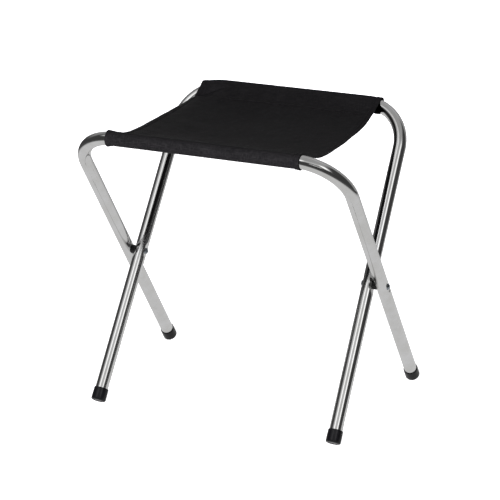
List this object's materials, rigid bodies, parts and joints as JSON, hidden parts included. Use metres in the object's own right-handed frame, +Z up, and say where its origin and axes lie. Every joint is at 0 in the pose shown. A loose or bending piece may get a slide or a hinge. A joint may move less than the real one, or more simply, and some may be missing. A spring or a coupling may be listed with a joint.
{
  "type": "folding camp stool",
  "caption": "Folding camp stool: two bent round tube frames crossed in an X on side rivets, a sagging cloth seat slung between the top rails, capped feet.",
  "frame": {"origin": "on the floor under the middle of the stool, midway between the two rails", "axes": "+Z up, +X along the rails and the rivet line, -Y the front, where the outer frame's rail is"},
  "size_m": [0.4048, 0.326, 0.4007],
  "materials": {
    "aluminium": "drawn tube, polished to a satin shine",
    "rivet_steel": "plated, slightly dull",
    "black_plastic": "moulded, soft sheen",
    "black_cloth": "plain woven polyester, matt with a faint sheen"
  },
  "bodies": {
    "outer_frame": {"outer_tube": "aluminium", "rear_left_foot_cap": "black_plastic", "rear_right_foot_cap": "black_plastic", "left_rivet": "rivet_steel", "right_rivet": "rivet_steel", "left_spacer": "black_plastic", "right_spacer": "black_plastic"},
    "inner_frame": {"inner_tube": "aluminium", "front_left_foot_cap": "black_plastic", "front_right_foot_cap": "black_plastic"},
    "seat_front": {"front_sleeve": "black_cloth", "front_panel": "black_cloth"},
    "seat_rear": {"rear_sleeve": "black_cloth", "rear_panel": "black_cloth"}
  },
  "joints": [
    {"name": "fold", "type": "hinge", "parent": "outer_frame", "child": "inner_frame", "pos_m": [0, 0, 0.1832], "axis": [1, 0, 0], "range_deg": [0, 65], "deforming": ["front_panel", "rear_panel", "front_sleeve", "rear_sleeve"]},
    {"name": "front_sleeve_turn", "type": "hinge", "parent": "outer_frame", "child": "seat_front", "pos_m": [0, -0.1531, 0.39087], "axis": [1, 0, 0], "range_deg": [-46, 0]},
    {"name": "rear_sleeve_turn", "type": "hinge", "parent": "inner_frame", "child": "seat_rear", "pos_m": [0, 0.1531, 0.39087], "axis": [1, 0, 0], "range_deg": [0, 46]}
  ],
  "couplings": [
    {"joint": "front_sleeve_turn", "follows": "fold", "ratio": -0.698},
    {"joint": "rear_sleeve_turn", "follows": "fold", "ratio": 0.698}
  ]
}
